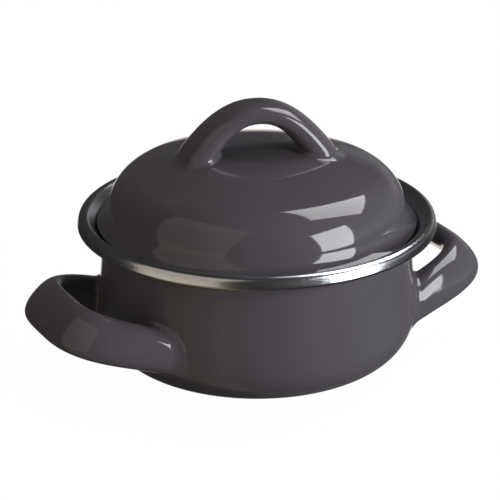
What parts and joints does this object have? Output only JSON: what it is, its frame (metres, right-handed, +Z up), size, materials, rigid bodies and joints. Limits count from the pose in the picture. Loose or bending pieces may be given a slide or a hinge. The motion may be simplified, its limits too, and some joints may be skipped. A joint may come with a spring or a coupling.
{
  "type": "mini casserole dish",
  "caption": "Small round enamelled steel casserole dish with looped side handles, a stainless rim band and a domed lift-off lid with an arched handle.",
  "frame": {"origin": "centre of the flat base, on the pot's axis", "axes": "+Z up the pot's axis, +X through the middle of the right side handle, the two side handles along X"},
  "size_m": [0.1672, 0.1256, 0.0926],
  "materials": {
    "enamel": "glossy vitreous enamel, dark warm grey",
    "weld_enamel": "glossy enamel run over a weld bead, dark warm grey",
    "rim_steel": "polished stainless sheet with a faint brushed grain"
  },
  "bodies": {
    "pot": {"pot_body": "enamel", "pot_rim_band": "rim_steel", "right_handle": "enamel", "right_handle_front_weld": "weld_enamel", "right_handle_back_weld": "weld_enamel", "left_handle": "enamel", "left_handle_front_weld": "weld_enamel", "left_handle_back_weld": "weld_enamel"},
    "lid": {"lid_shell": "enamel", "lid_handle": "enamel", "lid_handle_left_weld": "weld_enamel", "lid_handle_right_weld": "weld_enamel"}
  },
  "joints": [
    {"name": "lid_lift", "type": "slide", "parent": "pot", "child": "lid", "axis": [0, 0, 1], "range_m": [0, 0.08]}
  ]
}
